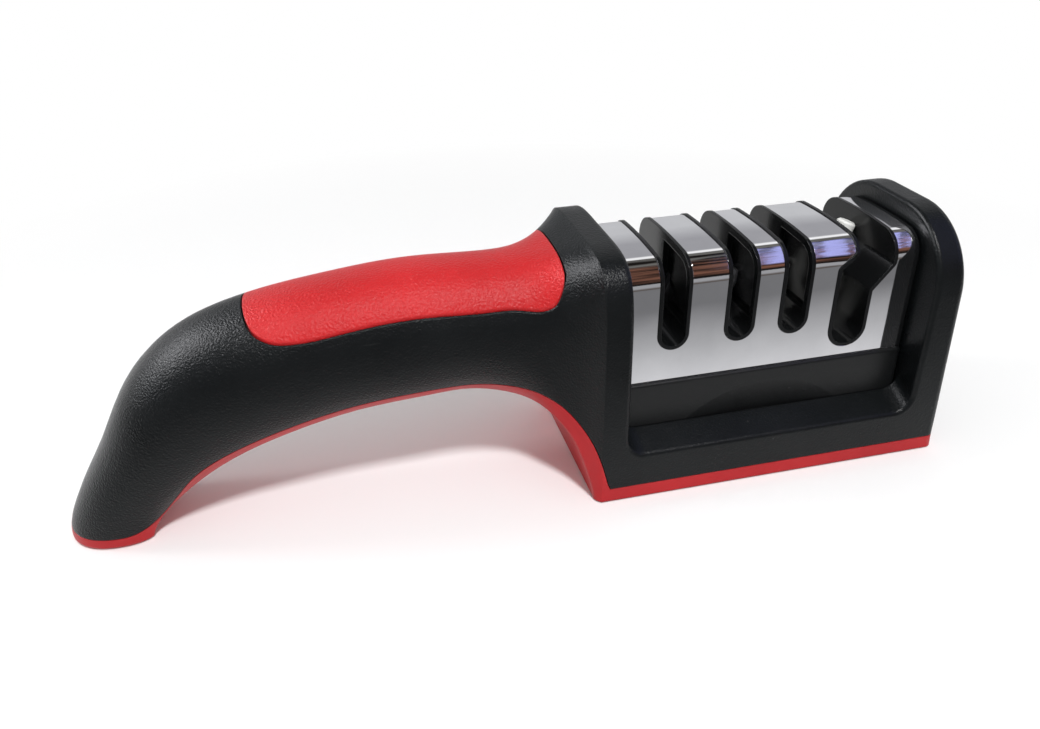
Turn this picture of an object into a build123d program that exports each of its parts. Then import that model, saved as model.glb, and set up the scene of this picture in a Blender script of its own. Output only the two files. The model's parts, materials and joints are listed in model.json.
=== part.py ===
from build123d import *
import math
import os

# A pull-through knife sharpener: an arched handle with a soft grip inlay, a saddle-shaped head, and a
# lift-out cartridge with four sharpening slots. Millimetres, +Z up. X runs from the handle's tip to the
# head's end plate, and Y = 0 is the middle of the handle. It stands on Z = 0, and X = 0 is the middle of
# its length.

os.makedirs("parts", exist_ok=True)

# Overall sizes
handle_length = 128.5  # from the handle's tip to the collar's crest
head_length = 94.5  # from the crest to the end plate's outer face
head_width = 51.2
collar_height = 63.9
overrun = 3.0  # how far every cutting shape runs past what it cuts
seat_gap = 0.1  # between pieces of one body that sit in each other
slide_gap = 0.3  # round the cartridge in its pocket, on each side

right_end = (handle_length + head_length) / 2
left_end = -right_end
crest_x = left_end + handle_length
head_half = head_width / 2

# Handle: rings along its spine, from the collar towards the tip
handle_width = 31.6
handle_depth = 33.6
handle_power_share = 2.3  # squareness of a ring, where 2 is an ellipse
spine_reach_shares = (0.159, 0.305, 0.454, 0.598, 0.684, 0.757, 0.839, 0.901, 0.889)
spine_height_shares = (0.657, 0.674, 0.650, 0.594, 0.533, 0.433, 0.252, 0.050, -0.103)
ring_width_shares = (1.0, 1.0, 1.0, 1.0, 0.985, 0.955, 0.880, 0.800, 0.745)
ring_depth_shares = (1.03, 0.99, 0.99, 1.02, 1.01, 0.910, 0.690, 0.680, 0.667)
ring_turns = (-4.0, 1.0, 8.0, 14.0, 26.0, 40.0, 51.0, 68.0, 82.0)  # degrees
ring_points = 48

# Flare between the handle and the collar
flare_shares = (0.34, 0.55, 0.72, 0.87, 1.0)
flare_swell_share = 2.4  # power of the widening
flare_drop_share = 2.0  # power of the drop underneath
collar_power_share = 5.3
collar_side_power_share = 12.0  # the collar's sides are nearly straight below its middle
collar_foot = -8.6  # the collar's ring runs on below the floor before it is cut

# Underside arch, from the tip's foot to the head's foot
arch_reach_shares = (0.8475, 0.838, 0.784, 0.731, 0.642, 0.571, 0.4385, 0.308, 0.234, 0.171, 0.117, 0.085,
                     0.0615, 0.044, 0.0283, 0.0171, 0.0117)
arch_height_shares = (-0.014, 0.035, 0.146, 0.217, 0.311, 0.358, 0.418, 0.439, 0.434, 0.418, 0.389, 0.355,
                      0.303, 0.246, 0.157, 0.072, 0.0)
cover_thickness = 3.7
cover_seam = 0.2
cover_round = 1.0
tip_rim = 2.9  # height of the cover at the tip
tip_rim_end_share = 0.903
seam_skip_count = 3  # arch points before the first that the seam follows

# Saddle of the head
collar_band = 6.7
end_plate_rise = 0.7  # above the collar
end_plate_thickness = 10.0
end_plate_lean = 2.4  # how far the outer face leans in over the height
end_plate_arch = 18.8
end_plate_round = 2.2
saddle_round = 1.2  # rim of the head's opening
sill_height = 12.9  # outer edge of the ledge
ledge_height = 16.2  # inner edge of the ledge, where the cartridge stands out
saddle_corner = 4.5
pocket_floor = 6.2
end_plate_height = collar_height + end_plate_rise

# Foot pad under the head
pad_recess = 1.2
pad_proud = 0.3
pad_start = 6.0  # from the collar's crest
pad_margin = 6.5  # to the end plate's outer face
pad_side = 8.0  # to the head's sides
pad_corner = 6.0
pad_groove = 1.6
pad_groove_depth = 0.5
pad_groove_count = 9
pad_groove_margin = 5.0
pad_half = head_half - pad_side

# Grip inlay on the handle, as a plan outline from its left end to its right
grip_thickness = 2.2
grip_groove = 0.35
grip_start = 79.1  # from the collar's crest
grip_length = 72.3
grip_half = 13.7
grip_length_shares = (0.0, 0.006, 0.027, 0.069, 0.13, 0.30, 0.55, 0.76, 0.88, 0.945, 1.0)
grip_width_shares = (0.0, 0.45, 0.765, 0.915, 0.98, 1.0, 1.0, 0.995, 1.045, 1.14, 1.22)
grip_end_bow = 0.3
grip_corner = 2.4
grip_low_share = 0.62  # the inlay's cutter starts at this share of the collar's height

# Cartridge
cartridge_left = crest_x + collar_band + slide_gap
cartridge_right = right_end - end_plate_thickness - slide_gap
strip_half = 17.8
strip_top = 28.1
strip_round = 0.7
chrome_half = 16.85
chrome_top = 60.0
chrome_crown = 0.9
chrome_corner = 6.15
chrome_thickness = 1.0
chrome_seat = 0.8  # depth of the grooves that the cover's edges stand in
chrome_inset = 1.4  # from the cartridge's ends to the cover's ends
body_inset = 0.3  # from the cartridge's ends to the body's ends
edge_gap = 0.05  # between the cover's cut edges and the body's lips
slot_lip = 0.95
lip_proud = 0.25

# Slots, from the collar to the end plate
coarse_slot_place = 19.85  # all places here are from the collar's crest
medium_slot_place = 37.15
fine_slot_place = 51.55
slot_width = 6.2
slot_floor = 37.6
wall_recess = 1.4
recess_border = 1.6
recess_floor = 42.0
slot_centres = [crest_x + place for place in (coarse_slot_place, medium_slot_place, fine_slot_place)]

# Scissor slot: a wide mouth that steps down into a narrower slot
scissor_place = 67.35
scissor_floor = 31.6
scissor_width = 8.6
mouth_left_place = 67.55
mouth_right_place = 77.05
mouth_left_low = 56.0
mouth_left_step = 52.5
mouth_right_low = 52.6
mouth_right_step = 46.0
mouth_round = 1.2
scissor_centre = crest_x + scissor_place
mouth_left = crest_x + mouth_left_place
mouth_right = crest_x + mouth_right_place

# Tray under the cartridge
tray_wall = 2.9
tray_end = 2.4
tray_floor = 2.0
tray_rib = 1.6
tray_rib_place = 3.6
tray_corner = 1.2
tongue_bottom = 21.0
boss_diameter = 8.2
tray_screw_inset = 5.8
tray_screw_place = 10.4
thumb_half = 14.0
thumb_high = 24.4
thumb_rise = 3.4
thumb_depth = 1.0  # where the ledge hides it
hold_rib_width = 1.2
hold_rib_proud = 0.2
hold_rib_inset = 9.0
hold_rib_low = 7.4
hold_rib_high = 14.2

# Abrasives and their holders
rod_diameter = 4.4
rod_lean = 23.0  # degrees from upright
rod_cross = 39.0
rod_low = 30.8
rod_high = 49.6
rod_chamfer = 0.5
rod_side_gap = 0.2  # between two crossing rods
rod_hole_gap = 0.12
holder_half_length = 6.4
holder_half_width = 6.4
holder_top = 34.6
holder_corner = 1.0
scissor_rod_diameter = 5.0
scissor_rod_lean = 20.5
scissor_cross = 35.2
scissor_rod_low = 24.6
scissor_rod_high = 56.7
scissor_rod_short = 48.0
scissor_holder_half = 7.6
scissor_holder_top = 29.2
blade_width = 6.0
blade_thickness = 2.0
blade_low = 29.0
blade_high = 49.6
blade_bevel = 0.8

# Screws
screw_shank = 2.9
screw_head = 5.6
screw_head_height = 2.0
screw_point = 1.4
screw_recess = 0.5  # how far a head sits below its surface
screw_gap = 0.05
driver_width = 0.9
driver_span = 3.2
driver_depth = 1.1
cover_screw_length = 11.0
cover_screw_inset = 8.0
cover_screw_side = 3.9  # to the head's sides
handle_screw_shares = (0.327, 0.557)
handle_screw_sink = 1.4
tip_screw_share = 0.925
cartridge_screw_length = 21.0
clamp_screw_length = 9.6
clamp_screw_shank = 1.9
clamp_screw_head = 3.4
clamp_screw_head_height = 1.2
clamp_driver_width = 0.6
clamp_driver_span = 2.2
clamp_driver_depth = 0.6
clamp_screw_height = 31.6


def write(shape, name):
    """Writes one named piece."""
    shape.label = name
    export_step(shape, f"parts/{name}.step")
    print(name, round(shape.volume, 1), "mm3,", len(shape.solids()), "solids")


def side_prism(face_xz, low_y, high_y):
    """Carries an outline drawn in X and Z across the part from low_y to high_y."""
    return extrude(Plane.XZ.offset(-high_y) * face_xz, high_y - low_y)


def long_prism(face_yz, low_x, high_x):
    """Carries an outline drawn in Y and Z along the part from low_x to high_x."""
    return extrude(Plane.YZ.offset(low_x) * face_yz, high_x - low_x)


def plan_prism(face_xy, low_z, high_z):
    """Carries an outline drawn in X and Y up from low_z to high_z."""
    return extrude(Plane.XY.offset(low_z) * face_xy, high_z - low_z)


def polygon(points):
    """A flat face through points in its own two directions."""
    return make_face(Polyline(*points, close=True))


def block(low, high):
    """A box between two opposite corners."""
    size = [b - a for a, b in zip(low, high)]
    middle = [(a + b) / 2 for a, b in zip(low, high)]
    return Pos(*middle) * Box(*size)


def upright(diameter, x, y, low, high):
    """A round bar along Z."""
    return Pos(x, y, (low + high) / 2) * Cylinder(diameter / 2, high - low)


# The outside of handle and head

def squared(angle, half_width, half_depth, power):
    """A point on a squared-off ellipse."""
    c = math.cos(angle)
    s = math.sin(angle)
    reach = (abs(c / half_width) ** power + abs(s / half_depth) ** power) ** (-1 / power)
    return c * reach, s * reach


def ring(x, z, half_width, half_depth, turn, power, low_power):
    """One closed ring of the handle, square to a spine that climbs at turn degrees."""
    normal = Vector(-math.sin(math.radians(turn)), 0, math.cos(math.radians(turn)))
    points = []
    for step in range(ring_points):
        angle = 2 * math.pi * step / ring_points
        squareness = low_power if math.sin(angle) < 0 else power
        across, up = squared(angle, half_width, half_depth, squareness)
        points.append(Vector(x, 0, z) + Vector(0, across, 0) + normal * up)
    return Wire([Edge.make_spline(points, periodic=True)])


def collar_ring():
    """The collar's ring, where the flare ends."""
    return ring(crest_x, (collar_height + collar_foot) / 2, head_half, (collar_height - collar_foot) / 2, 0,
                collar_power_share, collar_side_power_share)


def handle_rings(inset):
    """All rings from the tip to the collar, drawn in by inset."""
    rows = zip(spine_reach_shares, spine_height_shares, ring_width_shares, ring_depth_shares, ring_turns)
    rings = []
    for reach, height, width, depth, turn in rows:
        rings.append(ring(crest_x - reach * handle_length, height * collar_height,
                          width * handle_width / 2 - inset, depth * handle_depth / 2 - inset,
                          turn, handle_power_share, handle_power_share))
    rings.reverse()
    neck_x = crest_x - spine_reach_shares[0] * handle_length
    neck_z = spine_height_shares[0] * collar_height
    neck_top = neck_z + ring_depth_shares[0] * handle_depth / 2
    neck_low = neck_z - ring_depth_shares[0] * handle_depth / 2
    for share in flare_shares:
        swell = share ** flare_swell_share
        drop = share ** flare_drop_share
        top = neck_top + (collar_height - neck_top) * swell
        low = neck_low + (collar_foot - neck_low) * drop
        half = handle_width / 2 + (head_half - handle_width / 2) * swell
        power = handle_power_share + (collar_power_share - handle_power_share) * swell
        low_power = handle_power_share + (collar_side_power_share - handle_power_share) * swell
        rings.append(ring(neck_x + (crest_x - neck_x) * share, (top + low) / 2,
                          half - inset, (top - low) / 2 - inset, 0, power, low_power))
    return rings


def arch_line(offset):
    """Points along the underside, moved square to it into the handle by offset."""
    points = []
    for reach, height in zip(arch_reach_shares, arch_height_shares):
        points.append(Vector(crest_x - reach * handle_length, pad_proud + height * collar_height))
    moved = []
    for index, point in enumerate(points):
        before = points[max(index - 1, 0)]
        after = points[min(index + 1, len(points) - 1)]
        along = (after - before).normalized()
        moved.append(point + Vector(-along.Y, along.X) * offset)
    return moved


def arch_height(x):
    """Height of the underside at x, between the arch's points."""
    points = arch_line(0)
    for a, b in zip(points[:-1], points[1:]):
        if a.X <= x <= b.X:
            return a.Y + (b.Y - a.Y) * (x - a.X) / (b.X - a.X)
    return pad_proud


def end_plate_section():
    """The end plate's outline in Y and Z: an arch with straight sides."""
    face = Pos(0, end_plate_height / 2) * Rectangle(head_width, end_plate_height)
    return fillet(face.vertices().group_by(Axis.Y)[-1], end_plate_arch)


def head_block():
    """The head before its saddle is cut: the collar's ring carried along, and the end plate with its
    leaning outer face."""
    inner = right_end - end_plate_thickness
    middle = (collar_height + collar_foot) / 2
    upper = block((inner, -head_width, middle), (right_end + overrun, head_width, collar_height + head_width))
    head = extrude(Face(collar_ring()), head_length, dir=(1, 0, 0)) - upper
    head += long_prism(end_plate_section(), inner, right_end) & upper
    lean = polygon([(crest_x - overrun, collar_foot - overrun), (right_end, collar_foot - overrun),
                    (right_end, 0), (right_end - end_plate_lean, end_plate_height),
                    (right_end - end_plate_lean, end_plate_height + overrun),
                    (crest_x - overrun, end_plate_height + overrun)])
    return head & side_prism(lean, -head_width, head_width)


def on_plane(shape, x):
    """The curved edges that lie in one plane across the part."""
    found = []
    for edge in shape.edges():
        bounds = edge.bounding_box()
        if max(abs(bounds.min.X - x), abs(bounds.max.X - x)) < seat_gap and bounds.size.Z > seat_gap:
            found.append(edge)
    return found


def saddle_cutter():
    """What the head's opening takes away, with ledges that fall outwards on both sides."""
    left = crest_x + collar_band
    right = right_end - end_plate_thickness
    half = strip_half + slide_gap
    sky = collar_height + head_width
    outline = polygon([(left, ledge_height), (right, ledge_height), (right, sky), (left, sky)])
    rounded = fillet(outline.vertices().group_by(Axis.Y)[0], saddle_corner)
    cutter = side_prism(outline, -half, half)
    fall = (ledge_height - sill_height) / (head_half - half)
    length = (head_half - half + overrun) * math.hypot(1, fall)
    for side in (-1, 1):
        start = Plane.XZ.offset(-side * half) * rounded
        cutter += extrude(start, length, dir=(0, side, -fall))
    return cutter


def build_outside():
    """The whole outside of handle and head as one body, before it is parted into its mouldings."""
    handle = Solid.make_loft(handle_rings(0))
    whole = handle + head_block()
    whole -= block((left_end - head_width, -head_width, -head_width), (right_end + overrun, head_width, 0))
    whole -= block((left_end / 2, -head_width, -head_width), (right_end + overrun, head_width, pad_proud))
    points = arch_line(0)
    under = [Spline(*points),
             Polyline(points[-1], (points[-1].X, -head_width), (points[0].X, -head_width), points[0])]
    whole -= side_prism(make_face(under), -head_width, head_width)
    return round_outside(whole - saddle_cutter())


def round_outside(whole):
    """Rounds the end plate's outer rim, the rim of the head's opening, and the handle's foot and underside."""
    outer = [e for e in whole.edges() if e.center().X > right_end - end_plate_lean - seat_gap]
    whole = fillet([e for e in outer if e.center().Z > cover_thickness], end_plate_round)
    rim = on_plane(whole, right_end - end_plate_thickness)
    whole = fillet([e for e in rim if e.center().Z > ledge_height + saddle_corner], saddle_round)
    low = [e for e in whole.edges() if e.center().X < crest_x and e.bounding_box().max.Z < collar_height / 2]
    under = [e for e in low if e.length > handle_length / 2]
    foot = [e for e in low if e.bounding_box().max.Z < pad_proud / 2]
    return fillet(under + foot, cover_round)


def seam_face(raise_by):
    """The side view's share of the red cover: everything below the seam."""
    points = arch_line(cover_thickness + raise_by)
    start = (crest_x - tip_rim_end_share * handle_length, tip_rim + raise_by)
    followed = points[seam_skip_count:-1]
    corner = (arch_line(cover_thickness)[-1].X + raise_by, cover_thickness + raise_by)
    far = right_end + head_width
    near = left_end - head_width
    seam = Spline(start, *followed, tangents=[(1, 0), (followed[-1] - followed[-2]).normalized()])
    rest = Polyline(followed[-1], corner, (far, corner[1]), (far, -head_width), (near, -head_width),
                    (near, start[1]), start)
    return make_face([seam, rest])


def pocket():
    """The pocket that the cartridge stands in."""
    half = strip_half + slide_gap
    left = crest_x + collar_band
    right = right_end - end_plate_thickness
    return block((left, -half, pocket_floor), (right, half, ledge_height + overrun))


# Screws

def turned_screw(length, shank, head, head_height, width, span, depth):
    """A screw that points up, with the face of its head on Z = 0."""
    outline = polygon([(0, 0), (head / 2, 0), (head / 2, head_height), (shank / 2, head_height),
                       (shank / 2, length - screw_point), (0, length)])
    body = revolve(Plane.XZ * outline, Axis.Z)
    for across, along in ((span, width), (width, span)):
        body -= block((-across / 2, -along / 2, -overrun), (across / 2, along / 2, depth))
    return body


def screw_hole(length, shank, head, head_height, recess):
    """The hole for such a screw, open downwards, with its head sunk by recess."""
    hole = upright(shank + 2 * screw_gap, 0, 0, 0, length + screw_gap)
    return hole + upright(head + 2 * seat_gap, 0, 0, -recess - overrun, head_height)


def cover_screw_places():
    """Where the cover's screws stand, with the height of each head's face."""
    places = []
    for x in (crest_x + cover_screw_inset, right_end - cover_screw_inset):
        for side in (-1, 1):
            places.append((x, side * (head_half - cover_screw_side), pad_proud + screw_recess))
    for share in handle_screw_shares:
        x = crest_x - share * handle_length
        places.append((x, 0, arch_height(x) + handle_screw_sink))
    places.append((crest_x - tip_screw_share * handle_length, 0, screw_recess))
    return places


def tray_screw_places():
    """Where the cartridge's screws stand, with the height of each head's face."""
    places = []
    for x in (cartridge_left + tray_screw_inset, cartridge_right - tray_screw_inset):
        for side in (-1, 1):
            places.append((x, side * tray_screw_place, pocket_floor + screw_recess))
    return places


# Grip inlay and foot pad

def grip_outline(grow):
    """The inlay's outline in plan, grown by the width of the groove round it."""
    left = crest_x - grip_start - grow
    length = grip_length + 2 * grow
    upper = []
    for along, across in zip(grip_length_shares, grip_width_shares):
        upper.append(Vector(left + along * length, across * (grip_half + grow)))
    side = Spline(*upper, tangents=[(0, 1), (upper[-1] - upper[-2]).normalized()])
    other = mirror(side, about=Plane.XZ)
    low = Vector(upper[-1].X, -upper[-1].Y)
    end = ThreePointArc(upper[-1], (upper[-1].X + grip_end_bow, 0), low)
    face = make_face([side, end, other])
    return fillet(face.vertices().group_by(Axis.X)[-1], grip_corner + grow)


def grip_block(grow):
    """The inlay's outline as an upright block."""
    return plan_prism(grip_outline(grow), grip_low_share * collar_height, collar_height + overrun)


def foot_pad_outline():
    """The foot pad's outline in plan."""
    left = crest_x + pad_start
    right = right_end - pad_margin
    return Pos((left + right) / 2, 0) * RectangleRounded(right - left, 2 * pad_half, pad_corner)


def build_foot_pad():
    """The rubber foot under the head, with grooves across it."""
    pad = plan_prism(foot_pad_outline(), 0, pad_proud + pad_recess)
    left = crest_x + pad_start + pad_groove_margin
    right = right_end - pad_margin - pad_groove_margin
    for index in range(pad_groove_count):
        x = left + (right - left) * index / (pad_groove_count - 1)
        pad -= block((x - pad_groove / 2, -pad_half + pad_groove_margin, -overrun),
                     (x + pad_groove / 2, pad_half - pad_groove_margin, pad_groove_depth))
    return pad


# Slots of the cartridge

def hood_section(inset, foot):
    """The cover's outline in Y and Z, drawn in by inset: straight sides and a crowned top."""
    half = chrome_half - inset
    top = chrome_top - inset
    sides = Polyline((half, top - chrome_crown), (half, foot), (-half, foot), (-half, top - chrome_crown))
    crown = ThreePointArc((-half, top - chrome_crown), (0, top), (half, top - chrome_crown))
    face = make_face([sides, crown])
    return fillet(face.vertices().group_by(Axis.Y)[-1], chrome_corner - inset)


def hood(inset, foot, low_x, high_x):
    """The cover's outline carried along X."""
    return long_prism(hood_section(inset, foot), low_x, high_x)


def straight_slot(centre, grow):
    """A round-bottomed slot's outline in X and Z, grown by the lip."""
    half = slot_width / 2 + grow
    middle = slot_floor + slot_width / 2
    sky = chrome_top + overrun
    sides = Polyline((centre + half, middle), (centre + half, sky), (centre - half, sky),
                     (centre - half, middle))
    floor = ThreePointArc((centre - half, middle), (centre, middle - half), (centre + half, middle))
    return make_face([sides, floor])


def scissor_slot(grow):
    """The outline of the slot with the wide mouth, grown by the lip."""
    half = scissor_width / 2
    left = scissor_centre - half
    right = scissor_centre + half
    middle = scissor_floor + half
    sky = chrome_top + overrun
    sides = Polyline((right, middle), (right, mouth_right_step), (mouth_right, mouth_right_low),
                     (mouth_right, sky), (mouth_left, sky), (mouth_left, mouth_left_low),
                     (left, mouth_left_step), (left, middle))
    floor = ThreePointArc((left, middle), (scissor_centre, scissor_floor), (right, middle))
    face = make_face([sides, floor])
    corners = [v for v in face.vertices() if middle + seat_gap < v.Y < chrome_top]
    face = fillet(corners, mouth_round)
    return offset(face, grow) if grow else face


def slot_faces(grow):
    """The outlines of all four slots."""
    return [straight_slot(centre, grow) for centre in slot_centres] + [scissor_slot(grow)]


def leaning(shape, centre, y, cross, lean, low, high, side):
    """Sets a bar along its lean, so that it crosses its pair at cross. Side 1 leans it to the right."""
    angle = side * lean
    middle = (low + high) / 2
    x = centre + (middle - cross) * math.tan(math.radians(angle))
    return Pos(x, y, middle) * Rot(0, angle, 0) * shape


def rod(centre, front, cross, lean, diameter, low, high, grow):
    """One abrasive rod. The front one of a straight slot leans to the right."""
    length = (high - low) / math.cos(math.radians(lean))
    y = (diameter + rod_side_gap) / 2
    if grow:
        bar = Cylinder(diameter / 2 + grow, length + 2 * grow)
    else:
        bar = Cylinder(diameter / 2, length)
        bar = chamfer(bar.edges().filter_by(GeomType.CIRCLE), rod_chamfer)
    side = 1 if front else -1
    return leaning(bar, centre, -y if front else y, cross, lean, low, high, side)


def straight_rod(centre, front, grow):
    """A rod of one of the straight slots."""
    return rod(centre, front, rod_cross, rod_lean, rod_diameter, rod_low, rod_high, grow)


def scissor_rod(front, grow):
    """A rod of the scissor slot: the rear one is long and leans to the right."""
    high = scissor_rod_short if front else scissor_rod_high
    length = (high - scissor_rod_low) / math.cos(math.radians(scissor_rod_lean))
    y = (scissor_rod_diameter + rod_side_gap) / 2
    if grow:
        bar = Cylinder(scissor_rod_diameter / 2 + grow, length + 2 * grow)
    else:
        bar = Cylinder(scissor_rod_diameter / 2, length)
        bar = chamfer(bar.edges().filter_by(GeomType.CIRCLE), rod_chamfer)
    return leaning(bar, scissor_centre, -y if front else y, scissor_cross, scissor_rod_lean,
                   scissor_rod_low, high, -1 if front else 1)


def blade(front, grow):
    """One carbide plate. The two plates' inner edges make the V that scrapes the knife."""
    length = (blade_high - blade_low) / math.cos(math.radians(rod_lean))
    side = 1 if front else -1
    plate = Pos(side * blade_width / 2, 0, 0) * Box(blade_width + 2 * grow, blade_thickness + 2 * grow,
                                                    length + 2 * grow)
    if not grow:
        inner = plate.edges().filter_by(Axis.Z).sort_by(Axis.X)
        rim = inner[:2] if front else inner[-2:]
        plate = chamfer(rim.sort_by(Axis.Y)[0] if front else rim.sort_by(Axis.Y)[-1], blade_bevel)
    y = (blade_thickness + rod_side_gap) / 2
    placed = leaning(plate, slot_centres[0], -y if front else y, rod_cross, rod_lean, blade_low, blade_high,
                     side)
    if grow:
        return placed
    return placed - clamp_screw_hole()


def clamp_screw():
    """The screw that pins both plates in their clamp."""
    body = turned_screw(clamp_screw_length, clamp_screw_shank, clamp_screw_head, clamp_screw_head_height,
                        clamp_driver_width, clamp_driver_span, clamp_driver_depth)
    return Pos(slot_centres[0], -holder_half_width, clamp_screw_height) * Rot(-90, 0, 0) * body


def clamp_screw_hole():
    """The clamp screw's hole."""
    hole = screw_hole(clamp_screw_length, clamp_screw_shank, clamp_screw_head, clamp_screw_head_height, 0)
    return Pos(slot_centres[0], -holder_half_width, clamp_screw_height) * Rot(-90, 0, 0) * hole


def holder_block(centre, half_length, top, grow):
    """A holder's outside, or the room that it needs in the body."""
    low = (centre - half_length - grow, -holder_half_width - grow, tongue_bottom - (overrun if grow else 0))
    high = (centre + half_length + grow, holder_half_width + grow, top + grow)
    shape = block(low, high)
    if grow:
        return shape
    return fillet(shape.edges().filter_by(Axis.Z), holder_corner)


def all_holders(grow):
    """The four holders: the carbide clamp and the three rod holders."""
    blocks = [holder_block(centre, holder_half_length, holder_top, grow) for centre in slot_centres]
    return blocks + [holder_block(scissor_centre, scissor_holder_half, scissor_holder_top, grow)]


def build_body():
    """The cartridge's black body: slots with raised lips, wall recesses, and seats for the holders."""
    low_x = cartridge_left + body_inset
    high_x = cartridge_right - body_inset
    body = hood(chrome_thickness + seat_gap, strip_top, low_x, high_x)
    skin = hood(-lip_proud, strip_top + overrun, low_x, high_x)
    for face in slot_faces(slot_lip - edge_gap):
        body += side_prism(face, -head_half, head_half) & skin
    rim = hood(0, strip_top, low_x, high_x)
    body += rim - block((cartridge_left + chrome_inset - edge_gap, -head_half, 0),
                        (cartridge_right - chrome_inset + edge_gap, head_half, chrome_top + overrun))
    tongue_half = strip_half - tray_wall - seat_gap
    body += block((cartridge_left + tray_end + seat_gap, -tongue_half, tongue_bottom),
                  (cartridge_right - tray_end - seat_gap, tongue_half, strip_top))
    for face in slot_faces(0):
        body -= side_prism(face, -head_half, head_half)
    for centre in slot_centres:
        for side in (-1, 1):
            wall = centre + side * slot_width / 2
            reach = hood(recess_border, recess_floor, min(wall, wall + side * wall_recess),
                         max(wall, wall + side * wall_recess))
            half = block((wall - slot_width, min(0, -side * head_half), recess_floor),
                         (wall + slot_width, max(0, -side * head_half), chrome_top))
            body -= reach & half
    for room in all_holders(seat_gap):
        body -= room
    for centre in slot_centres[1:]:
        for front in (True, False):
            body -= straight_rod(centre, front, rod_hole_gap)
    for front in (True, False):
        body -= scissor_rod(front, rod_hole_gap)
        body -= blade(front, seat_gap)
    for x, y, z in tray_screw_places():
        body -= Pos(x, y, z) * screw_hole(cartridge_screw_length, screw_shank, screw_head, screw_head_height,
                                          0)
    return body


def build_cover():
    """The thin chrome cover, cut out round the slots."""
    foot = strip_top - chrome_seat
    low_x = cartridge_left + chrome_inset
    high_x = cartridge_right - chrome_inset
    cover = hood(0, foot, low_x, high_x) - hood(chrome_thickness, foot - overrun, low_x - overrun,
                                                high_x + overrun)
    for face in slot_faces(slot_lip):
        cover -= side_prism(face, -head_half, head_half)
    return cover


def thumb_cutter(side):
    """A shallow hollow for the thumb in one side of the tray, as a slice of a large ball."""
    rim = (thumb_half ** 2 + thumb_rise ** 2) / (2 * thumb_rise)
    centre_z = thumb_high - rim
    ball = (rim ** 2 - (ledge_height - centre_z) ** 2) / (2 * thumb_depth)
    middle_y = strip_half + ball - rim ** 2 / (2 * ball)
    room = block((cartridge_left, -head_half * 2, ledge_height - hold_rib_width),
                 (cartridge_right, head_half * 2, strip_top))
    centre_x = (cartridge_left + cartridge_right) / 2
    return (Pos(centre_x, side * middle_y, centre_z) * Sphere(ball)) & room


def build_tray():
    """The tray that closes the cartridge from below, with ribs, screw bosses and thumb hollows."""
    tray = block((cartridge_left, -strip_half, pocket_floor), (cartridge_right, strip_half, strip_top))
    tray = fillet(tray.edges().filter_by(Axis.Z), tray_corner)
    long_rims = tray.edges().group_by(Axis.Z)[-1].filter_by(Axis.X)
    tray = fillet(long_rims, strip_round)
    left = cartridge_left + tray_end
    right = cartridge_right - tray_end
    half = strip_half - tray_wall
    tray -= block((left, -half, tongue_bottom), (right, half, strip_top + overrun))
    centres = slot_centres + [scissor_centre]
    bounds = [left] + [(a + b) / 2 for a, b in zip(centres[:-1], centres[1:])] + [right]
    near = tray_rib_place - tray_rib / 2
    far = tray_rib_place + tray_rib / 2
    rows = [(-half, -far), (-near, near), (far, half)]
    for index, (a, b) in enumerate(zip(bounds[:-1], bounds[1:])):
        low_x = a + (tray_rib / 2 if index else 0)
        high_x = b - (tray_rib / 2 if index < len(bounds) - 2 else 0)
        for low_y, high_y in rows:
            tray -= block((low_x, low_y, pocket_floor + tray_floor), (high_x, high_y, tongue_bottom + overrun))
    for x, y, z in tray_screw_places():
        tray += upright(boss_diameter, x, y, pocket_floor, tongue_bottom)
    for x, y, z in tray_screw_places():
        tray -= Pos(x, y, z) * screw_hole(cartridge_screw_length, screw_shank, screw_head, screw_head_height,
                                          screw_recess)
    groove = chrome_thickness + 2 * seat_gap
    rib = 2 * hold_rib_proud
    for side in (-1, 1):
        y = side * (chrome_half - chrome_thickness / 2)
        tray -= block((cartridge_left + chrome_inset - seat_gap, y - groove / 2, strip_top - chrome_seat),
                      (cartridge_right - chrome_inset + seat_gap, y + groove / 2, strip_top + overrun))
        tray -= thumb_cutter(side)
        y = side * strip_half
        for x in (cartridge_left + hold_rib_inset, cartridge_right - hold_rib_inset):
            tray += block((x - hold_rib_width / 2, y - rib / 2, hold_rib_low),
                          (x + hold_rib_width / 2, y + rib / 2, hold_rib_high))
    return tray


def write_abrasives():
    """Plates, rods and what holds them, slot by slot."""
    clamp = all_holders(0)[0]
    for front, name in ((True, "carbide_blade_front"), (False, "carbide_blade_rear")):
        write(blade(front, 0), name)
        clamp -= blade(front, seat_gap / 2)
    write(clamp - clamp_screw_hole(), "carbide_clamp")
    write(clamp_screw(), "clamp_screw")
    for index, kind in ((1, "diamond"), (2, "ceramic")):
        holder = all_holders(0)[index]
        for front, name in ((True, "front"), (False, "rear")):
            write(straight_rod(slot_centres[index], front, 0), f"{kind}_rod_{name}")
            holder -= straight_rod(slot_centres[index], front, seat_gap / 2)
        write(holder, f"{kind}_rod_holder")
    holder = all_holders(0)[-1]
    for front, name in ((True, "front"), (False, "rear")):
        write(scissor_rod(front, 0), f"scissor_rod_{name}")
        holder -= scissor_rod(front, seat_gap / 2)
    write(holder, "scissor_rod_holder")


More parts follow.
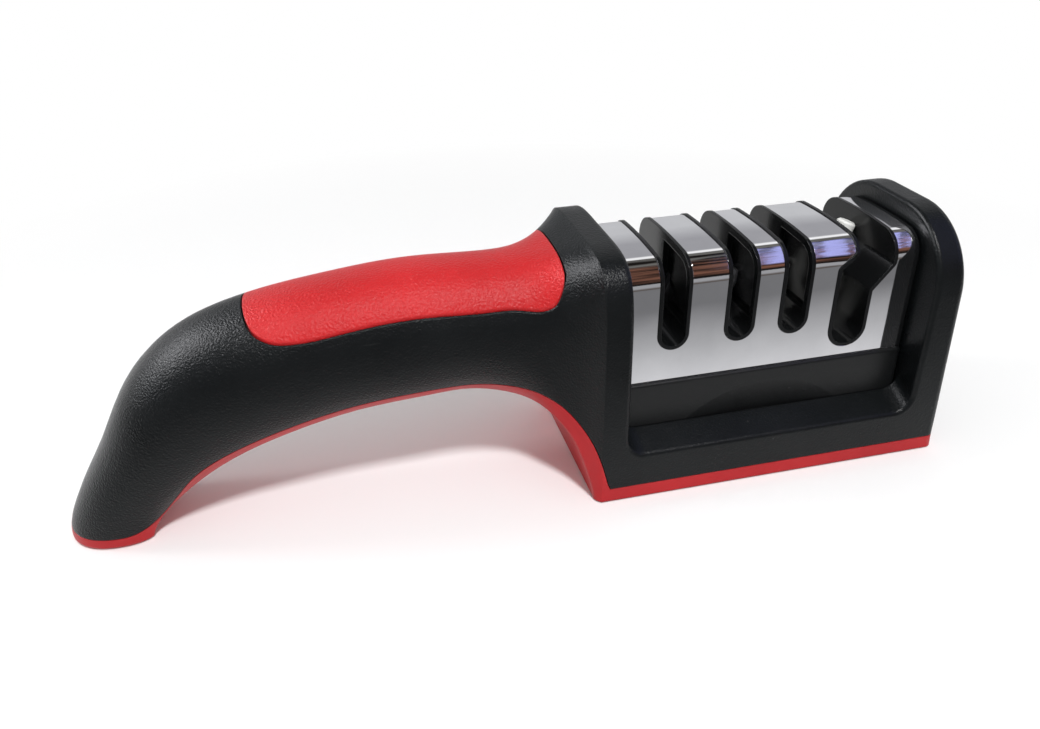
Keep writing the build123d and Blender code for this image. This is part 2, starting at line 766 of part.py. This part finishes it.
def write_mouldings():
    """Handle and head: the black shell, the red cover and the grip inlay, parted from one outside."""
    whole = build_outside()
    cover = whole & side_prism(seam_face(0), -head_width, head_width)
    shell = whole - side_prism(seam_face(cover_seam), -head_width, head_width) - pocket()
    seat = grip_block(grip_groove) - Solid.make_loft(handle_rings(grip_thickness + seat_gap))
    grip = (grip_block(0) & whole) - Solid.make_loft(handle_rings(grip_thickness))
    shell -= seat
    cover -= plan_prism(offset(foot_pad_outline(), seat_gap), -overrun, pad_proud + pad_recess)
    hole = screw_hole(cover_screw_length, screw_shank, screw_head, screw_head_height, screw_recess)
    sunk_hole = screw_hole(cover_screw_length, screw_shank, screw_head, screw_head_height, head_half)
    for x, y, z in cover_screw_places():
        cut = sunk_hole if y == 0 else hole
        shell -= Pos(x, y, z) * cut
        cover -= Pos(x, y, z) * cut
    write(shell, "handle_shell")
    write(cover, "bottom_cover")
    write(grip, "grip_inlay")
    write(build_foot_pad(), "foot_pad")


def write_screws():
    """Two groups of equal screws."""
    cover_screw = turned_screw(cover_screw_length, screw_shank, screw_head, screw_head_height, driver_width,
                               driver_span, driver_depth)
    write(Compound(children=[Pos(*place) * cover_screw for place in cover_screw_places()]), "cover_screws")
    tray_screw = turned_screw(cartridge_screw_length, screw_shank, screw_head, screw_head_height, driver_width,
                              driver_span, driver_depth)
    write(Compound(children=[Pos(*place) * tray_screw for place in tray_screw_places()]), "cartridge_screws")


write_mouldings()
write_screws()
write(build_body(), "cartridge_body")
write(build_cover(), "chrome_cover")
write(build_tray(), "cartridge_tray")
write_abrasives()
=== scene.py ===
import json
import math

import bpy
from mathutils import Matrix, Vector

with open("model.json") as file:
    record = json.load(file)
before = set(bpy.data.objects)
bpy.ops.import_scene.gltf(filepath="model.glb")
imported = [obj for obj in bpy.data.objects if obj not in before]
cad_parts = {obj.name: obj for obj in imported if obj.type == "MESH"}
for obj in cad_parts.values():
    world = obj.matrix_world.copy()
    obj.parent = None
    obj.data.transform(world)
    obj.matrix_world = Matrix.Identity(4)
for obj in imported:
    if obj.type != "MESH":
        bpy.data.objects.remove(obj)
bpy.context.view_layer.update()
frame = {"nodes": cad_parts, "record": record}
nodes = frame["nodes"]
print("stage 1: frame loaded,", len(nodes), "nodes")


# Small helpers for node materials

def addNode(tree, kind, **settings):
    node = tree.nodes.new(kind)
    for name, value in settings.items():
        setattr(node, name, value)
    return node


def newMaterial(name, shaderValues):
    material = bpy.data.materials.new(name)
    material.use_nodes = True
    tree = material.node_tree
    shader = tree.nodes["Principled BSDF"]
    for socket, value in shaderValues.items():
        shader.inputs[socket].default_value = value
    place = addNode(tree, "ShaderNodeTexCoord").outputs["Object"]
    return material, tree, shader, place


def axesOf(tree, vector):
    node = addNode(tree, "ShaderNodeSeparateXYZ")
    tree.links.new(vector, node.inputs[0])
    return node.outputs


def noise(tree, place, scale, detail, roughness=0.5, distortion=0.0, stretch=None):
    if stretch:
        mapping = addNode(tree, "ShaderNodeMapping")
        mapping.inputs["Scale"].default_value = stretch
        tree.links.new(place, mapping.inputs["Vector"])
        place = mapping.outputs["Vector"]
    node = addNode(tree, "ShaderNodeTexNoise")
    node.inputs["Scale"].default_value = scale
    node.inputs["Detail"].default_value = detail
    node.inputs["Roughness"].default_value = roughness
    node.inputs["Distortion"].default_value = distortion
    tree.links.new(place, node.inputs["Vector"])
    return node.outputs["Fac"]


def cells(tree, place, scale, blend=None):
    node = addNode(tree, "ShaderNodeTexVoronoi")
    node.inputs["Scale"].default_value = scale
    if blend is not None:
        node.feature = "SMOOTH_F1"
        node.inputs["Smoothness"].default_value = blend
    tree.links.new(place, node.inputs["Vector"])
    return node.outputs


def spread(tree, value, low, high, toLow=0.0, toHigh=1.0):
    node = addNode(tree, "ShaderNodeMapRange")
    node.inputs["From Min"].default_value = low
    node.inputs["From Max"].default_value = high
    node.inputs["To Min"].default_value = toLow
    node.inputs["To Max"].default_value = toHigh
    tree.links.new(value, node.inputs["Value"])
    return node.outputs["Result"]


def combine(tree, operation, first, second):
    node = addNode(tree, "ShaderNodeMath", operation=operation)
    for index, part in enumerate((first, second)):
        if isinstance(part, (int, float)):
            node.inputs[index].default_value = part
        else:
            tree.links.new(part, node.inputs[index])
    return node.outputs[0]


def blendColor(tree, factor, first, second):
    node = addNode(tree, "ShaderNodeMix", data_type="RGBA")
    tree.links.new(factor, node.inputs["Factor"])
    for name, part in (("A", first), ("B", second)):
        socket = [s for s in node.inputs if s.name == name and s.type == "RGBA"][0]
        if isinstance(part, (tuple, list)):
            socket.default_value = (*part, 1.0)
        else:
            tree.links.new(part, socket)
    return [s for s in node.outputs if s.type == "RGBA"][0]


def relief(tree, height, distance, strength, under):
    node = addNode(tree, "ShaderNodeBump")
    node.inputs["Strength"].default_value = strength
    node.inputs["Distance"].default_value = distance
    tree.links.new(height, node.inputs["Height"])
    if under:
        tree.links.new(under, node.inputs["Normal"])
    return node.outputs["Normal"]


def softEdges(tree, radius):
    node = addNode(tree, "ShaderNodeBevel", samples=6)
    node.inputs["Radius"].default_value = radius
    return node.outputs["Normal"]


def edgeMask(tree, softened, start, full):
    # how far the rounded normal turns away from the face's own: bright at edges
    own = addNode(tree, "ShaderNodeNewGeometry").outputs["Normal"]
    dot = addNode(tree, "ShaderNodeVectorMath", operation="DOT_PRODUCT")
    tree.links.new(softened, dot.inputs[0])
    tree.links.new(own, dot.inputs[1])
    return spread(tree, combine(tree, "SUBTRACT", 1.0, dot.outputs["Value"]), start, full)


def grainedSkin(tree, place, values):
    # fine grain with pits in it, over soft edges and a gentle unevenness
    softened = softEdges(tree, values["edgeRadius"])
    grain = noise(tree, place, *values["grain"])
    pits = cells(tree, place, values["pitScale"], values["pitBlend"])["Distance"]
    height = combine(tree, "ADD", grain, combine(tree, "MULTIPLY", pits, values["pitWeight"]))
    if "headGrain" in values:  # the handle's grain is stronger than the head's
        weight = spread(tree, axesOf(tree, place)["X"], *values["headStart"], 1.0, values["headGrain"])
        height = combine(tree, "MULTIPLY", height, weight)
    normal = relief(tree, height, values["grainDepth"], values["grainStrength"], softened)
    flow = noise(tree, place, *values["flow"])
    normal = relief(tree, flow, values["flowDepth"], values["flowStrength"], normal)
    return grain, softened, normal


# Moulded plastics. A noise is written as its scale, detail, roughness and distortion, as far as they are
# given, and depths and radii are in metres.

def mouldedPlastic(name, values):
    material, tree, shader, place = newMaterial(name, {
        "Metallic": 0.0, "IOR": values["ior"], "Specular IOR Level": values["specular"]})
    cloud = noise(tree, place, *values["cloud"])
    tint = blendColor(tree, spread(tree, cloud, *values["cloudRange"]), values["dark"], values["light"])
    grain, softened, normal = grainedSkin(tree, place, values)
    # scuffs: long thin streaks, only where a wide cloud lets them through
    streak = noise(tree, place, *values["streak"], values["streakStretch"])
    patch = noise(tree, place, *values["patch"])
    scuff = combine(tree, "MULTIPLY", spread(tree, streak, *values["streakRange"]),
                    spread(tree, patch, *values["patchRange"]))
    speck = spread(tree, cells(tree, place, values["speckScale"])["Distance"], *values["speckRange"])
    rub = edgeMask(tree, softened, *values["rubRange"])
    marks = combine(tree, "MULTIPLY", scuff, values["scuffAmount"])
    for mark, amount in ((speck, values["speckAmount"]), (rub, values["rubAmount"])):
        marks = combine(tree, "MAXIMUM", marks, combine(tree, "MULTIPLY", mark, amount))
    tint = blendColor(tree, marks, tint, values["worn"])
    rough = spread(tree, cloud, *values["cloudRange"], values["roughLow"], values["roughHigh"])
    rough = combine(tree, "ADD", rough, combine(tree, "MULTIPLY", scuff, values["scuffRough"]))
    tree.links.new(tint, shader.inputs["Base Color"])
    tree.links.new(rough, shader.inputs["Roughness"])
    tree.links.new(normal, shader.inputs["Normal"])
    return material


shellLook = {
    "dark": (0.0036, 0.0044, 0.0049), "light": (0.0064, 0.0076, 0.0083), "worn": (0.085, 0.085, 0.085),
    "ior": 1.5, "specular": 0.19, "roughLow": 0.26, "roughHigh": 0.35, "edgeRadius": 0.0004,
    "cloud": (38.0, 4.0, 0.55), "cloudRange": (0.3, 0.7),
    "grain": (2500.0, 2.0, 0.6), "grainDepth": 0.00017, "grainStrength": 0.85,
    "pitScale": 1875.0, "pitBlend": 0.6, "pitWeight": 0.6,
    "headStart": (0.0, 0.03), "headGrain": 0.45,  # metres along the length, then the head's share
    "flow": (55.0, 2.0), "flowDepth": 0.00005, "flowStrength": 0.5,
    "streak": (1.0, 3.0, 0.6, 0.4), "streakStretch": (120.0, 900.0, 900.0), "streakRange": (0.66, 0.74),
    "patch": (45.0, 2.0), "patchRange": (0.52, 0.68), "scuffAmount": 0.10, "scuffRough": 0.12,
    "speckScale": 130.0, "speckRange": (0.05, 0.0), "speckAmount": 0.35,
    "rubRange": (0.02, 0.25), "rubAmount": 0.10,
}
shellPlastic = mouldedPlastic("shellPlastic", shellLook)

trayLook = dict(shellLook, dark=(0.0050, 0.0056, 0.0060), light=(0.0085, 0.0090, 0.0095), grainStrength=0.30,
                specular=0.32, roughLow=0.30, roughHigh=0.42, edgeRadius=0.0006, scuffAmount=0.60,
                patch=(70.0, 2.0), rubAmount=0.60)
trayPlastic = mouldedPlastic("trayPlastic", trayLook)

bodyLook = dict(shellLook, dark=(0.0045, 0.0048, 0.0052), light=(0.0075, 0.0080, 0.0085), grainStrength=0.10,
                specular=0.20, roughLow=0.14, roughHigh=0.23, edgeRadius=0.00025, scuffAmount=0.12,
                rubAmount=0.10)
bodyPlastic = mouldedPlastic("bodyPlastic", bodyLook)

holderLook = dict(shellLook, dark=(0.035, 0.035, 0.038), light=(0.052, 0.052, 0.056), grainStrength=0.3,
                  roughLow=0.45, roughHigh=0.6, edgeRadius=0.0002)
holderPlastic = mouldedPlastic("holderPlastic", holderLook)

coverLook = dict(shellLook, dark=(0.36, 0.008, 0.012), light=(0.46, 0.014, 0.018), worn=(0.62, 0.16, 0.16),
                 specular=0.26, grainStrength=0.16, roughLow=0.34, roughHigh=0.44, edgeRadius=0.0004,
                 speckAmount=0.2)
coverPlastic = mouldedPlastic("coverPlastic", coverLook)

footLook = dict(shellLook, dark=(0.018, 0.018, 0.018), light=(0.03, 0.03, 0.03), grainStrength=0.5,
                roughLow=0.7, roughHigh=0.85, specular=0.3, edgeRadius=0.0003)
footRubber = mouldedPlastic("footRubber", footLook)
print("stage 2: moulded plastics")


# Soft grip: a rubber skin whose grain tips carry a painted sparkle highlight, lighter in patches

gripLook = {
    # bright: the colour of the painted sparkle highlight on the grain tips
    "dark": (0.45, 0.0085, 0.0105), "light": (0.58, 0.0145, 0.018), "bright": (0.84, 0.20, 0.20),
    "ior": 1.48, "specular": 0.32, "sheen": 0.08, "sheenRoughness": 0.4, "roughLow": 0.34, "roughHigh": 0.48,
    "edgeRadius": 0.0005, "cloud": (30.0, 5.0, 0.6), "cloudRange": (0.3, 0.7),
    "grain": (1900.0, 2.5, 0.65), "grainDepth": 0.00020, "grainStrength": 0.9,
    "pitScale": 1520.0, "pitBlend": 0.5, "pitWeight": 0.7,
    "flow": (110.0, 2.0), "flowDepth": 0.00005, "flowStrength": 0.5,
    "sparkleRange": (0.60, 0.74), "sparkleAmount": 0.35, "patch": (70.0, 3.0), "patchRange": (0.42, 0.62),
}


def gripRubber(values):
    material, tree, shader, place = newMaterial("gripRubber", {
        "Metallic": 0.0, "IOR": values["ior"], "Specular IOR Level": values["specular"],
        "Sheen Weight": values["sheen"], "Sheen Roughness": values["sheenRoughness"]})
    cloud = noise(tree, place, *values["cloud"])
    tint = blendColor(tree, spread(tree, cloud, *values["cloudRange"]), values["dark"], values["light"])
    grain, softened, normal = grainedSkin(tree, place, values)
    # painted sparkle highlight: the grain's tips are lightened in patches with the bright colour, standing
    # in for glints of light
    sparkleTips = spread(tree, grain, *values["sparkleRange"])
    patch = spread(tree, noise(tree, place, *values["patch"]), *values["patchRange"])
    paintedSparkle = combine(tree, "MULTIPLY", combine(tree, "MULTIPLY", sparkleTips, patch), values["sparkleAmount"])
    tint = blendColor(tree, paintedSparkle, tint, values["bright"])
    rough = spread(tree, cloud, *values["cloudRange"], values["roughLow"], values["roughHigh"])
    tree.links.new(tint, shader.inputs["Base Color"])
    tree.links.new(rough, shader.inputs["Roughness"])
    tree.links.new(normal, shader.inputs["Normal"])
    return material


gripSkin = gripRubber(gripLook)
print("stage 3: grip")


# Metals, with fine hairlines and, on the chrome, a slow wave

def metal(name, values):
    material, tree, shader, place = newMaterial(name, {"Metallic": 1.0})
    cloud = noise(tree, place, *values["cloud"])
    tint = blendColor(tree, spread(tree, cloud, *values["tintRange"]), values["dark"], values["light"])
    hair = noise(tree, place, *values["hair"], values["hairStretch"])
    softened = softEdges(tree, values["edgeRadius"])
    normal = relief(tree, hair, values["hairDepth"], values["hairStrength"], softened)
    if "wave" in values:
        wave = noise(tree, place, *values["wave"])
        normal = relief(tree, wave, values["waveDepth"], values["waveStrength"], normal)
    rough = spread(tree, cloud, *values["roughRange"], values["roughLow"], values["roughHigh"])
    tree.links.new(tint, shader.inputs["Base Color"])
    tree.links.new(rough, shader.inputs["Roughness"])
    tree.links.new(normal, shader.inputs["Normal"])
    return material


chromeLook = {
    "dark": (0.80, 0.80, 0.82), "light": (0.90, 0.90, 0.92),
    "cloud": (55.0, 4.0, 0.6), "tintRange": (0.3, 0.7), "roughRange": (0.35, 0.75),
    "roughLow": 0.025, "roughHigh": 0.075, "edgeRadius": 0.00022,
    "hair": (1.0, 2.0, 0.6, 0.1), "hairStretch": (2600.0, 2600.0, 90.0), "hairDepth": 0.000002,
    "hairStrength": 0.25, "wave": (60.0, 1.0), "waveDepth": 0.00010, "waveStrength": 1.0,
}
chromeSkin = metal("chromeSkin", chromeLook)

screwLook = {
    "dark": (0.42, 0.42, 0.43), "light": (0.62, 0.62, 0.63),
    "cloud": (260.0, 4.0, 0.6), "tintRange": (0.3, 0.7), "roughRange": (0.35, 0.75),
    "roughLow": 0.24, "roughHigh": 0.42, "edgeRadius": 0.00015,
    "hair": (1.0, 2.0, 0.6, 0.1), "hairStretch": (900.0, 900.0, 4000.0), "hairDepth": 0.00002,
    "hairStrength": 0.5,
}
screwSteel = metal("screwSteel", screwLook)

carbideLook = dict(screwLook, dark=(0.20, 0.20, 0.215), light=(0.36, 0.36, 0.375),
                   hairStretch=(3200.0, 3200.0, 260.0), roughLow=0.26, roughHigh=0.40)
carbideSteel = metal("carbideSteel", carbideLook)
print("stage 4: metals")


# Abrasive rods: small crystals, each with its own shade and gloss

def abrasive(name, values):
    material, tree, shader, place = newMaterial(name, {
        "Metallic": values["metallic"], "Specular IOR Level": values["specular"]})
    crystals = cells(tree, place, values["gritScale"])
    shade = addNode(tree, "ShaderNodeSeparateColor")
    tree.links.new(crystals["Color"], shade.inputs["Color"])
    tint = blendColor(tree, shade.outputs["Red"], values["dark"], values["light"])
    soil = spread(tree, noise(tree, place, *values["soilCloud"]), *values["soilRange"])
    tint = blendColor(tree, combine(tree, "MULTIPLY", soil, values["soilAmount"]), tint, values["soil"])
    rough = spread(tree, shade.outputs["Green"], 0.0, 1.0, values["roughLow"], values["roughHigh"])
    normal = relief(tree, crystals["Distance"], values["gritDepth"], values["gritStrength"], None)
    tree.links.new(tint, shader.inputs["Base Color"])
    tree.links.new(rough, shader.inputs["Roughness"])
    tree.links.new(normal, shader.inputs["Normal"])
    return material


diamondLook = {
    "metallic": 0.7, "specular": 0.5, "dark": (0.22, 0.22, 0.23), "light": (0.62, 0.62, 0.64),
    "soil": (0.06, 0.055, 0.05), "soilAmount": 0.4, "soilCloud": (220.0, 4.0), "soilRange": (0.5, 0.7),
    "gritScale": 5200.0, "gritDepth": 0.00012, "gritStrength": 0.9, "roughLow": 0.22, "roughHigh": 0.55,
}
diamondCoat = abrasive("diamondCoat", diamondLook)

ceramicLook = dict(diamondLook, metallic=0.0, dark=(0.80, 0.80, 0.775), light=(0.86, 0.86, 0.84),
                   soil=(0.36, 0.35, 0.33), soilAmount=0.22, gritStrength=0.25, gritDepth=0.00005,
                   roughLow=0.38, roughHigh=0.5)
ceramicBody = abrasive("ceramicBody", ceramicLook)
print("stage 5: abrasives")

finishes = {
    "black_plastic": shellPlastic, "red_plastic": coverPlastic, "red_grip": gripSkin,
    "foot_rubber": footRubber, "screw_steel": screwSteel, "body_plastic": bodyPlastic, "chrome": chromeSkin,
    "carbide": carbideSteel, "holder_plastic": holderPlastic, "diamond_grit": diamondCoat,
    "ceramic": ceramicBody,
}
slotOf = {row["node"]: row["material_slot"] for row in frame["record"]["subparts"]}
for name, node in nodes.items():
    finish = trayPlastic if name == "cartridge_tray" else finishes[slotOf[name]]
    node.data.materials.clear()
    node.data.materials.append(finish)
print("stage 6: finishes on", len(nodes), "nodes")


# Paper floor. Mirrors see a painted shade on it that falls off towards the camera, given in metres from the
# origin.

paperLook = {
    "size": 4.0, "drop": 0.0001, "color": (0.97, 0.97, 0.972), "shade": 0.985, "cloud": (6.0, 3.0),
    "roughness": 0.75, "specular": 0.2, "whiteFrom": (0.16, 0.30), "paintedShadeStart": (0.040, 0.060),
    "paintedShadeNear": (0.68, 0.68, 0.69), "greyPlace": (0.060, 0.105), "paintedShadeGrey": (0.19, 0.19, 0.195),
    "darkPlace": (0.120, 0.16), "paintedShadeDark": (0.11, 0.094, 0.086),
    "farPlace": (0.17, 0.22), "paintedShadeFar": (0.36, 0.36, 0.37),
}


def paperFloor(values):
    half = values["size"] / 2
    mesh = bpy.data.meshes.new("floor")
    corners = ((-half, -half), (half, -half), (half, half), (-half, half))
    mesh.from_pydata([(x, y, -values["drop"]) for x, y in corners], [], [(0, 1, 2, 3)])
    floor = bpy.data.objects.new("floor", mesh)
    bpy.context.scene.collection.objects.link(floor)
    paper, tree, shader, place = newMaterial("floorPaper", {
        "Roughness": values["roughness"], "Specular IOR Level": values["specular"]})
    floor.data.materials.append(paper)
    shaded = tuple(v * values["shade"] for v in values["color"])
    tint = blendColor(tree, noise(tree, place, *values["cloud"]), values["color"], shaded)
    tree.links.new(tint, shader.inputs["Base Color"])
    # painted shade for glossy rays only: an emission that turns grey, then dark, then lighter again towards
    # the camera, so mirrors show a painted reflection of shade on the paper
    towards = combine(tree, "MULTIPLY", axesOf(tree, place)["Y"], -1.0)
    paintedMirrorShade = values["paintedShadeNear"]
    for zone, color in (("greyPlace", "paintedShadeGrey"), ("darkPlace", "paintedShadeDark"), ("farPlace", "paintedShadeFar")):
        paintedMirrorShade = blendColor(tree, spread(tree, towards, *values[zone]), paintedMirrorShade, values[color])
    path = addNode(tree, "ShaderNodeLightPath")
    paintedShadeGlow = addNode(tree, "ShaderNodeEmission")
    tree.links.new(paintedMirrorShade, paintedShadeGlow.inputs["Color"])
    # the painted shade is mixed in for glossy rays only, in front of the object
    mirrored = combine(tree, "MULTIPLY", spread(tree, towards, *values["paintedShadeStart"]),
                       path.outputs["Is Glossy Ray"])
    # the paper burns out to plain white away from the object, and keeps the shadow near it
    away = addNode(tree, "ShaderNodeVectorMath", operation="LENGTH")
    tree.links.new(place, away.inputs[0])
    burnt = combine(tree, "MULTIPLY", spread(tree, away.outputs["Value"], *values["whiteFrom"]),
                    path.outputs["Is Camera Ray"])
    surface = shader.outputs["BSDF"]
    for factor, source in ((mirrored, paintedShadeGlow), (burnt, addNode(tree, "ShaderNodeEmission"))):
        mixer = addNode(tree, "ShaderNodeMixShader")
        tree.links.new(factor, mixer.inputs["Fac"])
        tree.links.new(surface, mixer.inputs[1])
        tree.links.new(source.outputs["Emission"], mixer.inputs[2])
        surface = mixer.outputs["Shader"]
    tree.links.new(surface, tree.nodes["Material Output"].inputs["Surface"])


paperFloor(paperLook)


# Studio room: plain white to the camera and to matt surfaces, and a real room's light and dark to glossy
# ones. Places called Right are along the world's X, and the others are degrees over the object: 0 at the
# horizon in front, 90 straight up, 180 at the horizon behind.

roomLook = {
    "white": (1.0, 1.0, 1.0), "strength": 0.50, "dark": (0.012, 0.010, 0.009),
    "wood": (0.20, 0.09, 0.06), "woodGrain": (9.0, 2.0), "woodRange": (0.35, 0.6),
    "woodFrom": (4.0, 12.0), "woodRight": (0.20, 0.27),
    "shelf": (0.16, 0.155, 0.145), "shelfRows": (1.0, 2.0), "shelfStretch": (4.0, 4.0, 17.0),
    "shelfRange": (0.42, 0.62), "shelvesFrom": (72.0, 84.0),
    "pane": (0.48, 0.50, 0.98), "barScale": 13.0, "barBend": 2.0, "barRange": (0.25, 0.35),
    "panesRight": (0.42, 0.45), "panesFrom": (22.0, 28.0), "panesTo": (108.0, 102.0),
    "lamp": (1.0, 1.0, 1.0), "lampsFrom": (122.0, 127.0), "lampsRight": (0.12, 0.22),
    "wallLow": (0.59, 0.595, 0.61), "wallHigh": (0.38, 0.38, 0.40), "wallFrom": (136.0, 141.0),
    "wallPale": (153.0, 159.0),
    "sideWindow": (11.0, 11.0, 11.4), "sideRight": (-0.50, -0.58), "sideHeight": (0.40, 0.48),
    "sideBack": (-0.15, -0.05),
}


def studioRoom(values):
    world = bpy.data.worlds.new("studio")
    bpy.context.scene.world = world
    world.use_nodes = True
    tree = world.node_tree
    background = tree.nodes["Background"]
    path = addNode(tree, "ShaderNodeLightPath").outputs
    sky = addNode(tree, "ShaderNodeTexCoord").outputs["Generated"]
    axes = axesOf(tree, sky)
    tilt = combine(tree, "ARCTAN2", axes["Z"], combine(tree, "MULTIPLY", axes["Y"], -1.0))
    tilt = combine(tree, "MULTIPLY", tilt, math.degrees(1.0))

    def zone(direction, *keys):
        mask = spread(tree, direction, *values[keys[0]])
        for key in keys[1:]:
            mask = combine(tree, "MULTIPLY", mask, spread(tree, direction, *values[key]))
        return mask

    # brown furniture low in front, grey shelves over it
    grain = noise(tree, sky, *values["woodGrain"])
    wood = blendColor(tree, spread(tree, grain, *values["woodRange"]), values["dark"], values["wood"])
    wood = blendColor(tree, zone(axes["X"], "woodRight"), values["wallHigh"], wood)
    rows = noise(tree, sky, *values["shelfRows"], stretch=values["shelfStretch"])
    shelves = blendColor(tree, spread(tree, rows, *values["shelfRange"]), values["dark"], values["shelf"])
    around = blendColor(tree, zone(tilt, "woodFrom"), values["dark"], wood)
    around = blendColor(tree, zone(tilt, "shelvesFrom"), around, shelves)
    # window panes with bars, to the right of the camera
    bars = addNode(tree, "ShaderNodeTexWave")
    bars.inputs["Scale"].default_value = values["barScale"]
    bars.inputs["Distortion"].default_value = values["barBend"]
    tree.links.new(sky, bars.inputs["Vector"])
    panes = combine(tree, "MULTIPLY", zone(axes["X"], "panesRight"), zone(tilt, "panesFrom", "panesTo"))
    panes = combine(tree, "MULTIPLY", panes, spread(tree, bars.outputs["Fac"], *values["barRange"]))
    around = blendColor(tree, panes, around, values["pane"])
    # a row of lamps, then the wall behind, which is paler low down
    lamps = blendColor(tree, zone(axes["X"], "lampsRight"), values["wallHigh"], values["lamp"])
    around = blendColor(tree, zone(tilt, "lampsFrom"), around, lamps)
    wall = blendColor(tree, zone(tilt, "wallPale"), values["wallHigh"], values["wallLow"])
    around = blendColor(tree, zone(tilt, "wallFrom"), around, wall)
    # a bright window at the left lights the handle's upper side
    side = combine(tree, "MULTIPLY", zone(axes["X"], "sideRight"), zone(axes["Z"], "sideHeight"))
    side = combine(tree, "MULTIPLY", side, zone(axes["Y"], "sideBack"))
    around = blendColor(tree, side, around, values["sideWindow"])
    mirrored = combine(tree, "MAXIMUM", path["Is Glossy Ray"], path["Is Transmission Ray"])
    tree.links.new(blendColor(tree, mirrored, values["white"], around), background.inputs["Color"])
    seen = combine(tree, "MAXIMUM", path["Is Camera Ray"], mirrored)
    tree.links.new(spread(tree, seen, 0.0, 1.0, values["strength"], 1.0), background.inputs["Strength"])


studioRoom(roomLook)


# Two soft lamps, aimed at the object

lampAim = (0, 0, 0.03)
softLamps = {
    "keyLight": {"place": (0.06, -0.49, 0.84), "size": 0.11, "power": 6.4},
    "rimLight": {"place": (-0.66, 0.20, 0.54), "size": 0.16, "power": 1.0},
}
for name, values in softLamps.items():
    lamp = bpy.data.lights.new(name, "AREA")
    lamp.shape = "SQUARE"
    lamp.size = values["size"]
    lamp.energy = values["power"]
    light = bpy.data.objects.new(name, lamp)
    place = Vector(values["place"])
    turn = (Vector(lampAim) - place).to_track_quat("-Z", "Y").to_matrix().to_4x4()
    light.matrix_world = Matrix.Translation(place) @ turn
    bpy.context.scene.collection.objects.link(light)


# Camera at the photo's angle, in metres, degrees and millimetres of lens

view = {
    "place": (-0.0419, -0.1924, 0.1429), "azimuth": -13.02, "elevation": 30.14, "roll": -1.21, "lens": 30.74,
    "sensorWidth": 36.0, "clipStart": 0.01,
}
turn, rise, roll = (math.radians(view[key]) for key in ("azimuth", "elevation", "roll"))
back = Vector((math.sin(turn) * math.cos(rise), -math.cos(turn) * math.cos(rise), math.sin(rise)))
right = (-back).cross(Vector((0, 0, 1))).normalized()
up = right.cross(-back)
right, up = right * math.cos(roll) + up * math.sin(roll), up * math.cos(roll) - right * math.sin(roll)
camera = bpy.data.objects.new("camera", bpy.data.cameras.new("camera"))
camera.data.lens = view["lens"]
camera.data.sensor_width = view["sensorWidth"]
camera.data.clip_start = view["clipStart"]
camera.matrix_world = Matrix.Translation(view["place"]) @ Matrix((right, up, back)).transposed().to_4x4()
bpy.context.scene.collection.objects.link(camera)
bpy.context.scene.camera = camera
bpy.context.scene.view_settings.view_transform = "Standard"
print("stage 7: floor, light and camera")
